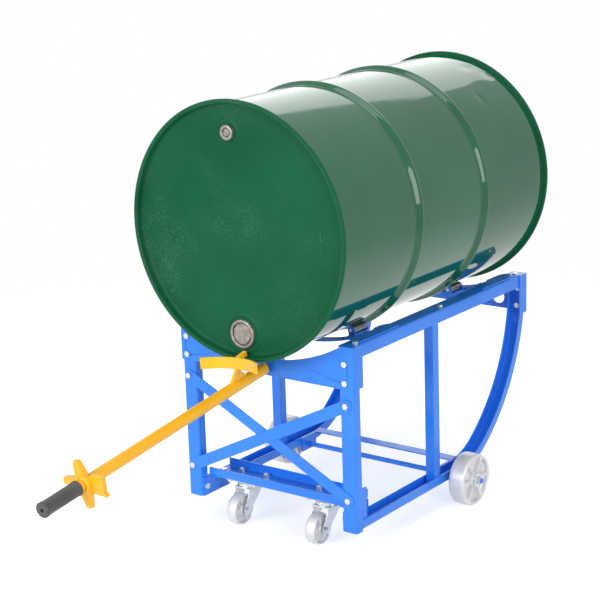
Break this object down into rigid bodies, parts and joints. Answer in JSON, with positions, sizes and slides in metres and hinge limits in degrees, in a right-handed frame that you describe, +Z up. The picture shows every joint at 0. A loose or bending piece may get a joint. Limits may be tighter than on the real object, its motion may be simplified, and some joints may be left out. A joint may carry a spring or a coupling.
{
  "type": "rotating drum cart",
  "caption": "Steel cradle on swivel casters, rear wheels and rocker rails that holds a closed drum on its side on rollers, with a hook-on lever that turns the drum.",
  "frame": {"origin": "on the floor below the middle of the whole length, lever included, and of the width", "axes": "+Z up, +Y from the lever end to the rocker end along the drum axis, +X to the right seen from the lever end"},
  "size_m": [0.6316, 1.5365, 1.0454],
  "materials": {
    "blue_paint": "gloss",
    "yellow_paint": "gloss",
    "green_gloss": "gloss",
    "green_head": "satin, scuffed",
    "zinc_plate": "bright zinc",
    "roller_steel": "satin",
    "cast_iron": "grey cast, machined tread",
    "bronze": "sintered",
    "bung_steel": "zinc, dull",
    "gasket_rubber": "matt",
    "grip_rubber": "satin"
  },
  "bodies": {
    "frame": {"front_saddle_plate": "blue_paint", "rear_saddle_plate": "blue_paint", "left_top_rail": "blue_paint", "right_top_rail": "blue_paint", "left_front_leg": "blue_paint", "right_front_leg": "blue_paint", "left_rocker_rail": "blue_paint", "right_rocker_rail": "blue_paint", "left_mid_post": "blue_paint", "right_mid_post": "blue_paint", "rising_brace_bar": "blue_paint", "falling_brace_bar": "blue_paint", "caster_channel": "blue_paint", "leg_foot_brackets": "blue_paint", "upper_cross_bar": "blue_paint", "rear_axle": "blue_paint", "axle_lugs": "blue_paint", "axle_fasteners": "zinc_plate", "front_roller_strap": "blue_paint", "rear_roller_strap": "blue_paint", "roller_mount_plates": "blue_paint", "roller_brackets": "blue_paint", "roller_pins": "zinc_plate", "saddle_bolts": "zinc_plate", "brace_bolts": "zinc_plate", "rail_bolts": "zinc_plate", "caster_top_plates": "zinc_plate", "caster_king_pins": "zinc_plate", "caster_balls": "zinc_plate", "caster_plate_bolts": "zinc_plate"},
    "front_left_roller": {"front_left_roller": "roller_steel"},
    "front_right_roller": {"front_right_roller": "roller_steel"},
    "rear_left_roller": {"rear_left_roller": "roller_steel"},
    "rear_right_roller": {"rear_right_roller": "roller_steel"},
    "left_rear_wheel": {"left_rear_wheel": "cast_iron", "left_hub_bush": "bronze"},
    "left_caster_fork": {"left_caster_fork": "zinc_plate", "left_caster_axle": "zinc_plate"},
    "left_caster_wheel": {"left_caster_wheel": "cast_iron"},
    "right_rear_wheel": {"right_rear_wheel": "cast_iron", "right_hub_bush": "bronze"},
    "right_caster_fork": {"right_caster_fork": "zinc_plate", "right_caster_axle": "zinc_plate"},
    "right_caster_wheel": {"right_caster_wheel": "cast_iron"},
    "drum": {"drum_shell": "green_gloss", "front_head": "green_head", "rear_head": "green_head", "large_bung_flange": "bung_steel", "small_bung_flange": "bung_steel"},
    "large_bung": {"large_bung": "bung_steel", "large_bung_gasket": "gasket_rubber"},
    "small_bung": {"small_bung": "bung_steel", "small_bung_gasket": "gasket_rubber"},
    "lever": {"lever_tube": "yellow_paint", "lever_grip": "grip_rubber", "bung_wrench": "yellow_paint", "saddle_strip": "yellow_paint", "hook_finger": "yellow_paint", "lever_gusset": "yellow_paint"}
  },
  "joints": [
    {"name": "drum_spin", "type": "hinge", "parent": "frame", "child": "drum", "pos_m": [0, 0.32651, 0.75], "axis": [0, 1, 0], "continuous": true},
    {"name": "front_left_roller_spin", "type": "hinge", "parent": "frame", "child": "front_left_roller", "pos_m": [-0.1391, 0.14976, 0.48838], "axis": [0, 1, 0], "continuous": true},
    {"name": "front_right_roller_spin", "type": "hinge", "parent": "frame", "child": "front_right_roller", "pos_m": [0.1391, 0.14976, 0.48838], "axis": [0, 1, 0], "continuous": true},
    {"name": "rear_left_roller_spin", "type": "hinge", "parent": "frame", "child": "rear_left_roller", "pos_m": [-0.1391, 0.56906, 0.48838], "axis": [0, 1, 0], "continuous": true},
    {"name": "rear_right_roller_spin", "type": "hinge", "parent": "frame", "child": "rear_right_roller", "pos_m": [0.1391, 0.56906, 0.48838], "axis": [0, 1, 0], "continuous": true},
    {"name": "left_rear_wheel_spin", "type": "hinge", "parent": "frame", "child": "left_rear_wheel", "pos_m": [-0.2785, 0.40676, 0.0635], "axis": [1, 0, 0], "continuous": true},
    {"name": "left_caster_swivel", "type": "hinge", "parent": "frame", "child": "left_caster_fork", "pos_m": [-0.115, 0.04176, 0.088], "axis": [0, 0, 1], "continuous": true},
    {"name": "left_caster_wheel_spin", "type": "hinge", "parent": "left_caster_fork", "child": "left_caster_wheel", "pos_m": [-0.115, 0.00476, 0.038], "axis": [1, 0, 0], "continuous": true},
    {"name": "right_rear_wheel_spin", "type": "hinge", "parent": "frame", "child": "right_rear_wheel", "pos_m": [0.2785, 0.40676, 0.0635], "axis": [1, 0, 0], "continuous": true},
    {"name": "right_caster_swivel", "type": "hinge", "parent": "frame", "child": "right_caster_fork", "pos_m": [0.115, 0.04176, 0.088], "axis": [0, 0, 1], "continuous": true},
    {"name": "right_caster_wheel_spin", "type": "hinge", "parent": "right_caster_fork", "child": "right_caster_wheel", "pos_m": [0.115, 0.00476, 0.038], "axis": [1, 0, 0], "continuous": true},
    {"name": "large_bung_turn", "type": "hinge", "parent": "drum", "child": "large_bung", "pos_m": [-0.001, -0.09624, 0.515], "axis": [0, -1, 0], "range_deg": [0, 1440]},
    {"name": "small_bung_turn", "type": "hinge", "parent": "drum", "child": "small_bung", "pos_m": [-0.022, -0.09624, 0.969], "axis": [0, -1, 0], "range_deg": [0, 1440]},
    {"name": "lever_tilt", "type": "hinge", "parent": "drum", "child": "lever", "pos_m": [0.01, -0.10974, 0.46], "axis": [1, 0, 0], "range_deg": [-12, 12]}
  ],
  "couplings": [
    {"joint": "front_left_roller_spin", "follows": "drum_spin", "ratio": -28.6},
    {"joint": "front_right_roller_spin", "follows": "drum_spin", "ratio": -28.6},
    {"joint": "rear_left_roller_spin", "follows": "drum_spin", "ratio": -28.6},
    {"joint": "rear_right_roller_spin", "follows": "drum_spin", "ratio": -28.6}
  ]
}
